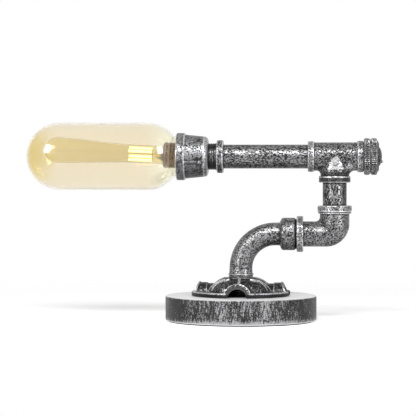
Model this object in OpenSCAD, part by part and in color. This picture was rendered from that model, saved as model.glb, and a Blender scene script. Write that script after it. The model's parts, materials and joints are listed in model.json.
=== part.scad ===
/* [Layout] */
// Height of the arm's centre line above the table
arm_z = 164.2; // [155:0.2:185]
// Height of the centre line where the sweep bend meets the elbow
low_z = 87; // [84:0.5:94]
// Distance from the base's centre to the riser's centre line
riser_x = 93.4; // [90:0.2:110]
// Length of the arm pipe that shows between its collar and the tee
arm_show = 84.1; // [70:0.1:140]

/* [Base] */
// Diameter of the base disc
base_d = 151; // [140:1:200]
// Height of the top of the base disc above the table
base_h = 25.5; // [22:0.5:32]
// Rounding of the disc's two edges
base_edge = 1.2; // [0.6:0.1:2]
// Thickness of the pad under the disc
pad_t = 1.2; // [0.8:0.1:2]
// How far the pad stays inside the disc's edge
pad_inset = 3.5; // [1:0.5:6]
// Diameter of the wiring well in the disc's underside
well_d = 110; // [100:1:116]
// Depth of the wiring well
well_depth = 13; // [11.5:0.5:14]
// Diameter of the supply cord that the grommet takes
cord_d = 6.4; // [5:0.1:7]

/* [Floor flange] */
// Diameter of the flange's plate
flange_d = 99; // [94:1:110]
// Thickness of the flange's plate
plate_t = 4; // [3:0.5:5]
// Height of the flange's flat top above the base
dome_h = 18.1; // [17:0.1:20]
// Diameter of the dome's ribs where they meet the plate
dome_d = 62.4; // [60:0.2:66]
// Radius of the dome's side, seen from the front
dome_curve = 20.4; // [19:0.1:23]
// Outer diameter of the four arches
arch_d = 26.2; // [25:0.2:30]
// Diameter of the half-round tunnels in the arches
tunnel_d = 19.2; // [16:0.2:20]
// Width of the dome's ribs
flange_rib = 2.6; // [2:0.2:4]
// Thickness of the bead round the flange's plate and arches
flange_bead = 1.6; // [1:0.1:2]
// Turn of the flange on the base, in degrees
flange_turn = -2.5; // [-10:0.5:10]
// Diameter of the circle that the flange screws lie on
screw_circle = 78; // [76:1:80]

/* [Pipe and fittings] */
// Outer diameter of the straight pipes
pipe_d = 23.8; // [23:0.1:25]
// Bore of the pipes and fittings
bore_d = 17; // [14:0.5:18]
// Diameter of the pipe thread
thread_d = 22; // [21:0.1:22.4]
// Length of thread that goes into a fitting
thread_len = 10; // [8:0.5:11]
// Diameter of the sweep bend's tube
bend_d = 22.8; // [22:0.1:24]
// Radius of the sweep bend's centre line
bend_r = 34.4; // [32:0.2:37]
// Outer diameter of the elbow's bend
elbow_d = 25.2; // [24.6:0.2:28]
// Inner radius of the elbow's bend
elbow_throat = 0.4; // [0.2:0.1:3]
// Outer diameter of the tee's body
tee_d = 28.2; // [27:0.2:29]
// Rounding of the edges of the fittings' bands
band_edge = 1.1; // [0.5:0.1:1.5]

/* [Head] */
// Outer diameter of the bell's rim
bell_d = 47.2; // [46:0.2:52]
// Length of the bell from its rim to its shoulder
bell_len = 31.7; // [30:0.1:36]
// Outer diameter of the glass shade
shade_d = 68; // [60:1:80]
// Length of the shade from the bell's mouth to its tip
shade_len = 151; // [148:1:170]
// Thickness of the shade's glass
glass_t = 1.8; // [1.5:0.1:2]
// Lean of the shade above the arm's line, in degrees
shade_tilt = 0.2; // [0:0.1:1]
// Outer diameter of the shade's neck
shade_neck_d = 40.6; // [38:0.2:41]
// Greatest diameter of the bulb's glass
bulb_d = 26.8; // [22:0.2:30]
// Gap between the bulb's glass tip and the shade's closed end
bulb_gap = 16; // [12.4:0.2:30]
// Lean of the lampholder and bulb above the arm's line, in degrees
bulb_tilt = 2.7; // [0:0.1:3]
// Diameter of the bulb's screw cap over its thread
cap_d = 26; // [25.8:0.1:26.2]
// Number of filament sticks
filament_count = 4; // [2:1:6]

/* [Switch] */
// Outer diameter of the knurled ring and knob
knob_d = 36.6; // [34:0.2:42]
// Width of each knurled band
knurl_w = 5.8; // [4:0.1:8]
// Number of ridges around the knurl
knurl_count = 54; // [36:1:72]
// Depth of the knurl's ridges
knurl_depth = 0.7; // [0.4:0.1:1]
// Diameter of the switch's shaft
shaft_d = 6; // [5:0.1:6.4]

/* [Wiring] */
// Outer diameter of each insulated lead
lead_d = 2.2; // [1.8:0.1:2.4]
// Distance between the two leads side by side
lead_pitch = 5; // [4.4:0.1:5.2]

/* [Hidden] */
$fn = 96;

// Clearances
thread_gap = 0.1;      // radial gap of a screwed joint
run_gap = 0.05;        // radial gap of a running fit
fit_gap = 0.2;         // radial gap of a loose fit
grip_gap = 0.3;        // radial gap round the shade's neck
eps = 0.01;

// Base
base_r = base_d / 2;
well_r = well_d / 2;
well_top = pad_t + well_depth;
inlet_z = pad_t + 7.3;
grommet_r = cord_d / 2 + 1.8;
grommet_rim_r = grommet_r + 1.6;
grommet_rim_t = 1.6;
inlet_flat_y = sqrt(base_r * base_r - pow(grommet_rim_r + fit_gap, 2)) - 1.4;
centre_hole_r = 7;

// Floor flange
flange_top = base_h + dome_h;
boss_r = thread_d / 2 + 4.4;
dome_c = dome_d / 2 - sqrt(pow(dome_curve, 2) - pow(plate_t + 1.7, 2));
dome_drop = -1.7;
petal_sink = 1.5;
petal_out = 19.5;
petal_r = 14.5;
petal_lift = 0.5;
arch_end = flange_d / 2 - 3.7;
arch_foot = 12.5;
arch_step = 0.9;
arch_slant = 22;
bead_r = flange_bead / 2;
screw_d = 4;
screw_head_d = 7.6;
screw_head_h = 2.6;
flange_wall = 3.4;

// Pipes and fittings
pipe_r = pipe_d / 2;
bore_r = bore_d / 2;
thread_r = thread_d / 2;
socket_r = thread_r + thread_gap;
band_over = 6.8;
small_band_w = 6.4;
bend_band_w = 6.6;
elbow_band_w = 6.8;
bend_top = low_z - bend_r;
bend_shoulder = flange_top + 0.3;
bend_bell_x = bend_r + 4.2;
bend_bell_r = bend_d / 2 + 4.8;
elbow_bar_r = elbow_d / 2;
elbow_r = elbow_bar_r + elbow_throat;
bend_mouth_x = riser_x - elbow_r - 18.2;
bend_bell_len = bend_mouth_x - bend_bell_x - bend_band_w;
elbow_z = low_z + elbow_r;
elbow_mouth_z = elbow_z + 15.5;
elbow_cup_r = elbow_bar_r + 2.1;
elbow_cup_z = elbow_z - 4;
elbow_heel_r = 23;
elbow_heel_x = riser_x + elbow_cup_r - 0.1 - elbow_heel_r;
elbow_lip_t = 1.4;
tee_branch_z = arm_z - 26;
tee_left_x = riser_x - 26.8;
tee_right_x = riser_x + 28.6;
tee_r = tee_d / 2;
arm_left_x = tee_left_x - arm_show;
collar_w = 6.6;
collar_left_x = arm_left_x - collar_w;
neck_show = 8.6;
small_fillet = 4;
large_fillet = 6;
elbow_fillet = 4.5;
neck_r = thread_r + 2.3;
collar_r = neck_r + 3.1;

// Head
bell_back_x = collar_left_x - neck_show;
bell_mouth_x = bell_back_x - bell_len;
bell_r = bell_d / 2;
bell_rim_w = 8.7;
bell_body_r = bell_r - 1.5;
bell_tail_r = bell_body_r - 2;
bell_tail_round = 4;
rib_turn = 15;
rib_len = 15;
bell_wall = 2.6;
mouth_r = bell_r - 1.65;
mouth_depth = 7.4;
neck_thread_len = 8.6;
shade_r = shade_d / 2;
shade_neck_r = shade_neck_d / 2;
shade_flare = 2.5;
shade_shoulder = sqrt(pow(shade_r + shade_flare, 2) - pow(shade_neck_r + shade_flare, 2));
shade_neck_show = 0.8;
shade_neck_len = mouth_depth - 0.8;
holder_x = bell_back_x - neck_thread_len - 1.7;
holder_r = 15.4;
holder_len = 21.4;
holder_wall = 1.6;
cavity_s = 3;
floor_s = 9;
cup_s = 11.5;
shell_r = cap_d / 2 + 0.25;
shell_t = 0.4;
shell_hole_r = 6.5;
terminal_y = 8;
terminal_hole_r = 1.1;
stem_r = 6.4;
stem_bore_r = 4.6;
nut_t = 2.2;
stem_left_x = holder_x - cavity_s - nut_t - 1;

// Bulb, measured along its own axis from the lampholder's back
tip_s = cup_s + 1.4;
cap_s = tip_s + 2.4;
cap_len = 19.3;
cap_cone_h = 1.5;
cap_end_s = cap_s + cap_len;
cap_pitch = 3.6;
cap_root_r = cap_d / 2 - 0.6;
glass_wall = 0.9;
bulb_r = bulb_d / 2;
neck_glass_r = 9.3;
bulb_end_s = holder_x - (bell_mouth_x - shade_len + glass_t + bulb_gap) - bulb_r;
taper_s = cap_end_s + 36.8;
stick_s = cap_end_s + 11.8;
stick_len = 23;
stick_circle_r = 6.4;
stick_r = 1.2;
stick_turn = 22.5;

// Switch
ring_x = tee_right_x;
ring_hub_w = 0.5;
knob_gap = 0.4;
knob_x = ring_x + ring_hub_w + knurl_w + knob_gap;
knob_hub_w = 0.8;
knob_r = knob_d / 2;
knob_bevel_h = 1.8;
knob_step_h = 1.4;
knob_step_r = 9.8;
knob_step_top_r = 8.2;
crown_r = 21;
crown_h = 5;
crown_edge_r = 8.6;
nib_off = 5;
nib_r = 2;
nib_tip_r = 0.7;
nib_h = 3.4;
bushing_r = 4.9;
shaft_r = shaft_d / 2;
plug_t = 5;
plug_r = thread_r + 0.6;
switch_r = 9;
switch_len = 14;
switch_back_x = tee_right_x - plug_t - switch_len - 2;
tee_bore_r = switch_r + 0.6;

// Leads
lead_r = lead_d / 2;
lead_y = lead_pitch / 2;
lead_z = 1.8;
lead_bend = 6;
block_x = 14;
block_size = [20, 18, 9];
screw_x = block_size[0] / 4;
lead_base_z = well_top - block_size[2] / 2;
lead_tip_x = holder_x - floor_s + 1.2;

function arc(cx, cy, r, a0, a1, n) = [for (i = [0:n]) let (a = a0 + (a1 - a0) * i / n)
    [cx + r * cos(a), cy + r * sin(a)]];

// Places children drawn along +Z so that they run along +X on the arm's line
module along_arm(x, z = arm_z) translate([x, 0, z]) rotate([0, 90, 0]) children();

// Places children drawn along +Z on the shade's own leaning axis, from the bell's mouth
module along_shade() translate([bell_mouth_x, 0, arm_z]) rotate([0, shade_tilt - 90, 0]) children();

// Places children drawn along +Z on the lampholder's own leaning axis
module along_bulb(s = 0) translate([holder_x, 0, arm_z])
    rotate([0, bulb_tilt - 90, 0]) translate([0, 0, s]) children();

// A ring section with rounded outer corners, for a revolve
module band_section(r_in, r_out, h, e = band_edge) {
    translate([r_in, 0]) square([r_out - r_in - e, h]);
    translate([r_in, e]) square([r_out - r_in, h - 2 * e]);
    for (z = [e, h - e]) translate([r_out - e, z]) circle(e, $fn = 32);
}

module band(r_in, r_out, h, e = band_edge) rotate_extrude() band_section(r_in, r_out, h, e);

// A quarter of a bent round bar that starts along +Z at the origin and leans towards +X
module quarter_bend(r, bar_r) translate([r, 0, 0]) rotate([90, 0, 180])
    rotate_extrude(angle = 90) translate([r, 0]) circle(bar_r);

// Shallow rings that stand for a thread
module thread_rings(r, h, pitch, depth) for (z = [pitch / 2:pitch:h - pitch / 2])
    translate([0, 0, z]) rotate_extrude() polygon([[r - depth, -pitch * 0.4], [r, -pitch * 0.12],
        [r, pitch * 0.12], [r - depth, pitch * 0.4], [r - depth - 0.3, 0]]);

module base_disc() color("dimgray") difference() {
    translate([0, 0, pad_t]) band(0, base_r, base_h - pad_t, base_edge);
    translate([0, 0, pad_t - eps]) cylinder(r = well_r, h = well_depth + eps);
    cylinder(r = centre_hole_r, h = base_h + 1);
    for (a = [45:90:315]) rotate(a + flange_turn) translate([screw_circle / 2, 0, 0])
        cylinder(r = screw_d / 2 + fit_gap, h = base_h + 1, $fn = 32);
    translate([0, 0, inlet_z]) rotate([-90, 0, 0]) cylinder(r = grommet_r + fit_gap / 4, h = base_d);
    translate([0, inlet_flat_y, inlet_z]) rotate([-90, 0, 0])
        cylinder(r = grommet_rim_r + fit_gap, h = base_d);
}

module base_pad() color("black") cylinder(r = base_r - pad_inset, h = pad_t);

module cable_grommet() color("black") translate([0, 0, inlet_z]) rotate([-90, 0, 0]) difference() {
    union() {
        translate([0, 0, well_r - grommet_rim_t])
            cylinder(r = grommet_r, h = inlet_flat_y - well_r + 2 * grommet_rim_t);
        translate([0, 0, inlet_flat_y]) band(0, grommet_rim_r, grommet_rim_t, 0.5);
        translate([0, 0, well_r - grommet_rim_t - 0.8]) cylinder(r = grommet_r + 0.5, h = grommet_rim_t);
    }
    cylinder(r = cord_d / 2 + 0.1, h = base_d);
}

module dome_section(grow) intersection() {
    square([flange_d, dome_h]);
    union() {
        square([dome_c, dome_h]);
        translate([dome_c, dome_drop]) circle(dome_curve + grow);
    }
}

// All that lies beyond the slanted plane that ends an arch, or one parallel to it
module beyond_slant(x) translate([x, 0, plate_t]) rotate([0, -arch_slant, 0])
    translate([0, -arch_d, -1]) cube([flange_d, 2 * arch_d, flange_d]);

module flange_arch() difference() {
    union() {
        rotate([0, 90, 0]) cylinder(r = arch_d / 2 - arch_step, h = arch_end);
        translate([arch_end - arch_foot, 0, 0]) rotate([0, 90, 0]) cylinder(r = arch_d / 2, h = arch_foot);
        intersection() {
            rotate([0, 90, 0]) cylinder(r = arch_d / 2 + bead_r, h = arch_end);
            beyond_slant(arch_end - flange_bead);
        }
    }
    beyond_slant(arch_end);
    translate([0, -arch_d, -arch_d]) cube([flange_d, 2 * arch_d, arch_d]);
}

module floor_flange() color("darkslategray") translate([0, 0, base_h]) rotate(flange_turn) difference() {
    union() {
        band(0, flange_d / 2, plate_t, 0.8);
        rotate_extrude() dome_section(-petal_sink);
        intersection() {
            rotate_extrude() dome_section(0);
            for (a = [0, 90]) rotate(a) translate([-flange_d / 2, -flange_rib / 2, 0])
                cube([flange_d, flange_rib, dome_h]);
        }
        cylinder(r = boss_r, h = dome_h);
        for (a = [45:90:315]) rotate(a) translate([petal_out, 0, petal_lift]) difference() {
            sphere(petal_r);
            translate([-petal_r, -petal_r, -petal_r - petal_lift])
                cube([2 * petal_r, 2 * petal_r, petal_r]);
        }
        for (a = [0:90:270]) rotate(a) flange_arch();
        translate([0, 0, plate_t]) rotate_extrude()
            translate([flange_d / 2 - bead_r - 0.3, 0]) circle(bead_r, $fn = 32);
    }
    difference() {
        translate([0, 0, -eps]) rotate_extrude() intersection() {
            square([dome_d / 2 - flange_wall - 1, dome_h - flange_wall - petal_sink]);
            translate([dome_c, dome_drop]) circle(dome_curve - flange_wall - petal_sink);
        }
        cylinder(r = boss_r, h = dome_h);
    }
    for (a = [0:90:270]) rotate(a) translate([boss_r + 1, 0, -0.8]) rotate([0, 90, 0])
        cylinder(r = tunnel_d / 2, h = flange_d);
    translate([0, 0, -1]) cylinder(r = socket_r, h = dome_h + 2);
    for (a = [45:90:315]) rotate(a) translate([screw_circle / 2, 0, -eps])
        cylinder(r = screw_d / 2 - 0.2, h = plate_t - 0.8, $fn = 32);
}

module flange_screws() color("silver") for (a = [45:90:315]) rotate(a + flange_turn)
    translate([screw_circle / 2, 0, well_top]) {
        cylinder(r = screw_d / 2 - 0.3, h = base_h - well_top + plate_t - 1.2, $fn = 32);
        difference() {
            translate([0, 0, -screw_head_h]) cylinder(r = screw_head_d / 2, h = screw_head_h, $fn = 48);
            for (t = [0, 90]) rotate(t) translate([-2, -0.4, -screw_head_h - eps]) cube([4, 0.8, 1.3]);
        }
    }

// Outer half section of the sweep bend's bell, drawn from its root to the band at its mouth
module bend_bell_section() polygon(concat([[0, 0], [bend_d / 2, 0]],
    arc(bend_bell_r - 3, 4.2, 3, -75, 0, 6), [[bend_bell_r, bend_bell_len - 2.2],
    [bend_bell_r - 1.4, bend_bell_len - 0.8], [bend_bell_r - 1.4, bend_bell_len + 1],
    [0, bend_bell_len + 1]]));

module sweep_bend() color("dimgray") difference() {
    union() {
        translate([0, 0, flange_top - thread_len - 3]) cylinder(r = thread_r, h = thread_len + 4);
        translate([0, 0, bend_shoulder])
            cylinder(r1 = bend_d / 2 + 0.6, r2 = bend_d / 2, h = bend_top - bend_shoulder - 0.5);
        translate([0, 0, bend_shoulder + 1.8]) band(0, bend_d / 2 + 1.2, 1.8, 0.6);
        translate([0, 0, bend_shoulder]) cylinder(r = bend_d / 2, h = bend_top - bend_shoulder);
        translate([0, 0, bend_top]) quarter_bend(bend_r, bend_d / 2);
        along_arm(bend_r, low_z) cylinder(r = bend_d / 2, h = bend_mouth_x - bend_r - 1);
        along_arm(bend_bell_x, low_z) rotate_extrude() bend_bell_section();
        along_arm(bend_mouth_x - bend_band_w, low_z) band(0, bend_bell_r + 1.7, bend_band_w);
    }
    translate([0, 0, base_h]) cylinder(r = bore_r, h = bend_top - base_h);
    translate([0, 0, bend_top]) quarter_bend(bend_r, bore_r);
    along_arm(bend_r, low_z) cylinder(r = bore_r, h = riser_x);
    along_arm(bend_mouth_x - thread_len - 1, low_z) cylinder(r = socket_r, h = riser_x);
}

// A quarter of a round bar that fills the corner between two pipes, round the corner's own centre
module corner_fillet(x, z, f, bar_r, turn) translate([x, 0, z]) rotate(turn)
    rotate_extrude(angle = 90) translate([f + bar_r, 0]) circle(bar_r);

// The full, round heel of the elbow, a quarter turn about a centre nearer to the corner
module elbow_heel() translate([elbow_heel_x, 0, low_z - elbow_bar_r + elbow_heel_r])
    rotate([-90, 0, 0]) rotate_extrude(angle = 90) intersection() {
        translate([elbow_heel_r - elbow_bar_r, 0]) circle(elbow_bar_r);
        translate([0, -elbow_bar_r]) square([elbow_heel_r + 1, 2 * elbow_bar_r]);
    }

module street_elbow() color("dimgray") difference() {
    union() {
        along_arm(bend_mouth_x - thread_len, low_z) cylinder(r = thread_r, h = thread_len + 1);
        along_arm(bend_mouth_x, low_z) cylinder(r = elbow_bar_r, h = elbow_heel_x - bend_mouth_x);
        elbow_heel();
        translate([riser_x, 0, elbow_cup_z]) sphere(elbow_cup_r);
        translate([riser_x, 0, elbow_cup_z]) cylinder(r = elbow_cup_r, h = elbow_mouth_z - elbow_cup_z - 2);
        corner_fillet(riser_x - elbow_cup_r - elbow_fillet, low_z + elbow_bar_r + elbow_fillet,
            elbow_fillet, elbow_bar_r - 4.2, [-90, 0, 0]);
        translate([riser_x, 0, elbow_mouth_z - elbow_band_w - elbow_lip_t])
            band(0, elbow_cup_r + 1.8, elbow_lip_t, 0.5);
        translate([riser_x, 0, elbow_mouth_z - elbow_band_w]) band(0, elbow_cup_r + 2.3, elbow_band_w);
    }
    along_arm(bend_mouth_x - thread_len - 1, low_z)
        cylinder(r = bore_r, h = riser_x - elbow_r - bend_mouth_x + thread_len + 1);
    translate([riser_x, 0, elbow_z]) rotate([0, 180, 0]) quarter_bend(elbow_r, bore_r);
    translate([riser_x, 0, elbow_z]) cylinder(r = bore_r, h = 30);
    translate([riser_x, 0, elbow_mouth_z - thread_len - 1]) cylinder(r = socket_r, h = 30);
}

// A straight pipe drawn along +Z with a reduced thread at both ends
module threaded_pipe(show, low_thread, high_thread) difference() {
    union() {
        cylinder(r = pipe_r, h = show);
        translate([0, 0, -low_thread]) cylinder(r = thread_r, h = show + low_thread + high_thread);
    }
    translate([0, 0, -low_thread - 1]) cylinder(r = bore_r, h = show + low_thread + high_thread + 2);
}

module riser_nipple() color("gray") translate([riser_x, 0, elbow_mouth_z])
    threaded_pipe(tee_branch_z - elbow_mouth_z, thread_len, thread_len);

module pipe_tee() color("dimgray") difference() {
    union() {
        along_arm(tee_left_x) cylinder(r = tee_r, h = tee_right_x - tee_left_x);
        along_arm(tee_left_x) band(0, tee_r + 1.2, small_band_w);
        along_arm(tee_right_x - small_band_w) band(0, tee_r + 1.5, small_band_w);
        translate([riser_x, 0, tee_branch_z]) cylinder(r = tee_r, h = arm_z - tee_branch_z);
        translate([riser_x, 0, tee_branch_z]) band(0, tee_r + 1.6, band_over);
        corner_fillet(riser_x - tee_r - small_fillet, arm_z - tee_r - small_fillet, small_fillet,
            tee_r - 4.5, [90, 0, 0]);
        corner_fillet(riser_x + tee_r + large_fillet, arm_z - tee_r - large_fillet, large_fillet,
            tee_r - 3.5, [90, 0, 180]);
    }
    along_arm(tee_left_x - 1) cylinder(r = bore_r, h = tee_right_x - tee_left_x + 2);
    along_arm(tee_left_x - 1) cylinder(r = socket_r, h = thread_len + 2);
    along_arm(switch_back_x - 4) cylinder(r = tee_bore_r, h = switch_len + 12);
    along_arm(tee_right_x - plug_t) cylinder(r = plug_r + thread_gap, h = plug_t + 1);
    translate([riser_x, 0, tee_branch_z - 1]) cylinder(r = bore_r, h = arm_z - tee_branch_z + 1);
    translate([riser_x, 0, tee_branch_z - 1]) cylinder(r = socket_r, h = thread_len + 2);
}

module arm_pipe() color("gray") along_arm(arm_left_x)
    threaded_pipe(arm_show, thread_len + 1, thread_len);

module arm_collar() color("dimgray") along_arm(collar_left_x) difference() {
    band(0, collar_r, collar_w, band_edge);
    translate([0, 0, -1]) cylinder(r = socket_r, h = collar_w + 2);
}

module neck_nipple() color("black") along_arm(bell_back_x) difference() {
    union() {
        translate([0, 0, -neck_thread_len]) cylinder(r = neck_r - 0.9, h = neck_thread_len + neck_show);
        translate([0, 0, 0.6]) thread_rings(neck_r, neck_show - 1, 1.8, 0.5);
        translate([0, 0, neck_show - 1.2]) cylinder(r = neck_r, h = 1.2);
        cylinder(r = neck_r - 0.5, h = neck_show);
    }
    translate([0, 0, neck_show - thread_len + band_over - 1.5]) cylinder(r = socket_r, h = thread_len);
    translate([0, 0, -neck_thread_len - 1]) cylinder(r = stem_r + thread_gap, h = 40);
}

// Outer half section of the bell behind its rim, with a rounded shoulder
module bell_section(tail) polygon(concat([[0, 0], [bell_body_r, 0]],
    arc(bell_tail_r - bell_tail_round, tail - bell_tail_round, bell_tail_round, 6, 84, 8),
    [[neck_r + 1.2, tail], [0, tail]]));

module socket_bell() color("dimgray") along_arm(bell_mouth_x) difference() {
    union() {
        band(0, bell_r, bell_rim_w, band_edge);
        translate([0, 0, bell_rim_w - 1]) rotate_extrude() bell_section(bell_len - bell_rim_w + 1);
        for (a = [90, 270]) rotate(a + rib_turn) bell_rib();
    }
    translate([0, 0, -1]) cylinder(r = mouth_r, h = mouth_depth + 1);
    cylinder(r = bell_tail_r - bell_wall, h = bell_len - neck_thread_len);
    cylinder(r = neck_r - 0.8, h = bell_len + 1);
}

// A rib that runs back from the rim on the bell's side and ends in a small nub
module bell_rib() {
    translate([bell_body_r - 0.1, 0, bell_rim_w - 0.5]) rotate([0, -5.5, 0])
        cylinder(r = 1.5, h = rib_len);
    translate([bell_body_r - 1.3, 0, bell_rim_w + rib_len]) sphere(2);
}

module grip_ring() color("black") difference() {
    along_arm(bell_mouth_x + 0.6) cylinder(r = mouth_r - run_gap, h = mouth_depth - 0.65);
    along_shade() translate([0, 0, -2 * mouth_depth])
        cylinder(r = shade_neck_r + grip_gap, h = 3 * mouth_depth);
}

// Half of the shade's outline: the radius runs along x, and y runs from the bell's mouth to the tip
module shade_section(r, neck, tip, inner) {
    translate([0, shade_shoulder + shade_neck_show])
        square([r, tip - r - shade_shoulder - shade_neck_show]);
    intersection() {
        translate([0, shade_neck_show]) square([r, tip]);
        for (y = [shade_shoulder + shade_neck_show, tip - r]) translate([0, y]) circle(r);
    }
    translate([0, -shade_neck_len - inner]) square([neck, shade_neck_len + shade_shoulder + inner]);
    translate([0, shade_neck_show]) difference() {
        square([neck + shade_flare * 0.62, shade_shoulder]);
        translate([neck + shade_flare, 0]) circle(shade_flare);
        translate([neck, -1]) square([2 * shade_flare, 1]);
    }
}

module shade_glass() color("khaki", 0.5) along_shade() rotate_extrude() difference() {
    shade_section(shade_r, shade_neck_r, shade_len, 0);
    shade_section(shade_r - glass_t, shade_neck_r - glass_t, shade_len - glass_t, 1);
}

module holder_body() color("saddlebrown") along_bulb() difference() {
    cylinder(r = holder_r, h = holder_len);
    translate([0, 0, -1]) cylinder(r = stem_r + 0.5, h = cavity_s + 2);
    translate([0, 0, cavity_s]) cylinder(r = holder_r - holder_wall - 1.4, h = floor_s - cavity_s);
    translate([0, 0, cup_s]) cylinder(r = shell_r + shell_t + thread_gap, h = holder_len);
    for (y = [-terminal_y, terminal_y]) translate([0, y, floor_s - 1])
        cylinder(r = terminal_hole_r, h = cup_s - floor_s + 2, $fn = 32);
}

module holder_shell() color("gold") along_bulb(cup_s) difference() {
    cylinder(r = shell_r + shell_t, h = holder_len - cup_s - 0.6);
    translate([0, 0, 0.4]) cylinder(r = shell_r, h = holder_len);
    translate([0, 0, -1]) cylinder(r = shell_hole_r, h = 3);
}

module holder_contact() color("gold") along_bulb(cup_s) {
    cylinder(r = 4, h = 0.6);
    cylinder(r = 2.2, h = 1.1);
}

module holder_terminals() color("gold") along_bulb(floor_s) for (side = [0, 1]) mirror([0, side, 0]) {
    translate([-3, 1.2, -0.8]) cube([6, 9, 0.8]);
    translate([0, terminal_y, -2.6]) cylinder(r = 2 * terminal_hole_r, h = 1.9, $fn = 32);
}

module holder_nipple() color("silver") along_arm(stem_left_x) difference() {
    cylinder(r = stem_r, h = bell_back_x + 2 - stem_left_x);
    translate([0, 0, -1]) cylinder(r = stem_bore_r, h = bell_back_x + 4 - stem_left_x);
}

module holder_nut() color("silver") along_arm(stem_left_x + 0.5) difference() {
    cylinder(r = 9.6, h = nut_t, $fn = 6);
    translate([0, 0, -1]) cylinder(r = stem_r + thread_gap, h = nut_t + 2);
}

module bulb_outline(r_neck, r_end, s0, end_s) {
    polygon([[0, s0], [r_neck, s0], [r_neck, taper_s], [r_end, end_s], [0, end_s]]);
    intersection() {
        translate([0, end_s - 1]) square([2 * r_end, 2 * r_end]);
        translate([0, end_s]) circle(r_end);
    }
}

module bulb_glass() color("orange", 0.5) along_bulb() rotate_extrude() difference() {
    bulb_outline(neck_glass_r, bulb_r, cap_end_s - 3, bulb_end_s);
    bulb_outline(neck_glass_r - glass_wall, bulb_r - glass_wall, cap_end_s - 3 - eps, bulb_end_s);
}

module bulb_cap() color("peru") along_bulb(cap_s) difference() {
    union() {
        cylinder(r = cap_root_r, h = cap_len - cap_cone_h);
        translate([0, 0, 0.6]) thread_rings(cap_d / 2, cap_len - 1.2, cap_pitch, 0.6);
        translate([0, 0, cap_len - cap_cone_h])
            cylinder(r1 = cap_root_r, r2 = cap_root_r - 1.2, h = cap_cone_h);
    }
    translate([0, 0, 1.2]) cylinder(r = cap_root_r - 0.8, h = cap_len - 5);
    cylinder(r = neck_glass_r + 0.1, h = cap_len + 1);
}

module bulb_insulator() color("black") along_bulb(tip_s + 0.8)
    cylinder(r1 = 6, r2 = neck_glass_r, h = cap_s - tip_s + 0.4);

module bulb_tip() color("silver") along_bulb(tip_s) intersection() {
    cylinder(r = 4.6, h = 0.8);
    translate([0, 0, 9]) sphere(9);
}

module bulb_stem() color("khaki", 0.6) along_bulb(cap_end_s - 3)
    cylinder(r1 = neck_glass_r - glass_wall - 0.1, r2 = 2, h = stick_s - cap_end_s);

module filament_wires() color("silver") along_bulb() {
    translate([0, 0, stick_s - 3]) cylinder(r = 0.5, h = stick_len + 4.5, $fn = 24);
    for (i = [0:filament_count - 1]) rotate(stick_turn + i * 360 / filament_count)
        for (s = [stick_s - 0.4, stick_s + stick_len + 0.4])
            translate([0, 0, s]) rotate([0, 90, 0]) cylinder(r = 0.4, h = stick_circle_r + 0.5, $fn = 24);
}

module filaments() color("yellow") along_bulb() for (i = [0:filament_count - 1])
    rotate(stick_turn + i * 360 / filament_count) translate([stick_circle_r, 0, stick_s])
        cylinder(r = stick_r, h = stick_len, $fn = 24);

module switch_body() color("black") along_arm(switch_back_x) difference() {
    union() {
        cylinder(r = switch_r, h = switch_len);
        translate([0, 0, switch_len]) cylinder(r = bushing_r + 1.5, h = 2);
    }
    translate([0, 0, switch_len - 4]) cylinder(r = shaft_r + run_gap, h = 10);
}

module switch_bushing() color("silver") along_arm(switch_back_x + switch_len + 2) difference() {
    cylinder(r = bushing_r, h = plug_t + ring_hub_w + knurl_w - 0.4);
    translate([0, 0, -1]) cylinder(r = shaft_r + run_gap, h = 40);
}

module end_plug() color("gray") along_arm(tee_right_x - plug_t) difference() {
    cylinder(r = plug_r, h = plug_t);
    translate([0, 0, -1]) cylinder(r = bushing_r + thread_gap, h = plug_t + 2);
}

// A disc with straight ridges round it and chamfered edges
module knurled_disc(r, h, chamfer) intersection() {
    linear_extrude(h) polygon([for (i = [0:2 * knurl_count - 1]) let (a = i * 180 / knurl_count,
        q = i % 2 == 0 ? r : r - knurl_depth) [q * cos(a), q * sin(a)]]);
    rotate_extrude() polygon([[0, 0], [r - chamfer, 0], [r, chamfer], [r, h - chamfer],
        [r - chamfer, h], [0, h]]);
}

module lock_ring() color("gray") along_arm(ring_x) difference() {
    union() {
        cylinder(r = tee_r, h = ring_hub_w + 1);
        translate([0, 0, ring_hub_w]) knurled_disc(knob_r, knurl_w, 0.8);
    }
    translate([0, 0, -1]) cylinder(r = bushing_r + thread_gap, h = ring_hub_w + knurl_w + 2);
}

module switch_shaft() color("silver") along_arm(switch_back_x + switch_len - 3.6)
    cylinder(r = shaft_r, h = knob_x - switch_back_x - switch_len + 3.6 + knob_hub_w + knurl_w);

module switch_knob() color("gray") along_arm(knob_x) difference() {
    union() {
        cylinder(r = knob_r - 1.3, h = knob_hub_w + 1);
        translate([0, 0, knob_hub_w]) knurled_disc(knob_r, knurl_w, 0.8);
        translate([0, 0, knob_hub_w + knurl_w]) {
            cylinder(r1 = knob_r - 1.6, r2 = knob_r - 4.6, h = knob_bevel_h);
            translate([0, 0, knob_bevel_h])
                cylinder(r1 = knob_step_r, r2 = knob_step_top_r, h = knob_step_h);
            intersection() {
                translate([0, 0, crown_h - crown_r]) sphere(crown_r);
                translate([0, 0, knob_bevel_h + 1]) cylinder(r = crown_edge_r, h = crown_h);
            }
            translate([nib_off, 0, crown_h - 2]) cylinder(r1 = nib_r, r2 = nib_tip_r, h = nib_h, $fn = 32);
        }
    }
    translate([0, 0, -1]) cylinder(r = shaft_r + run_gap / 2, h = knob_hub_w + knurl_w + 1.2);
}

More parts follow.
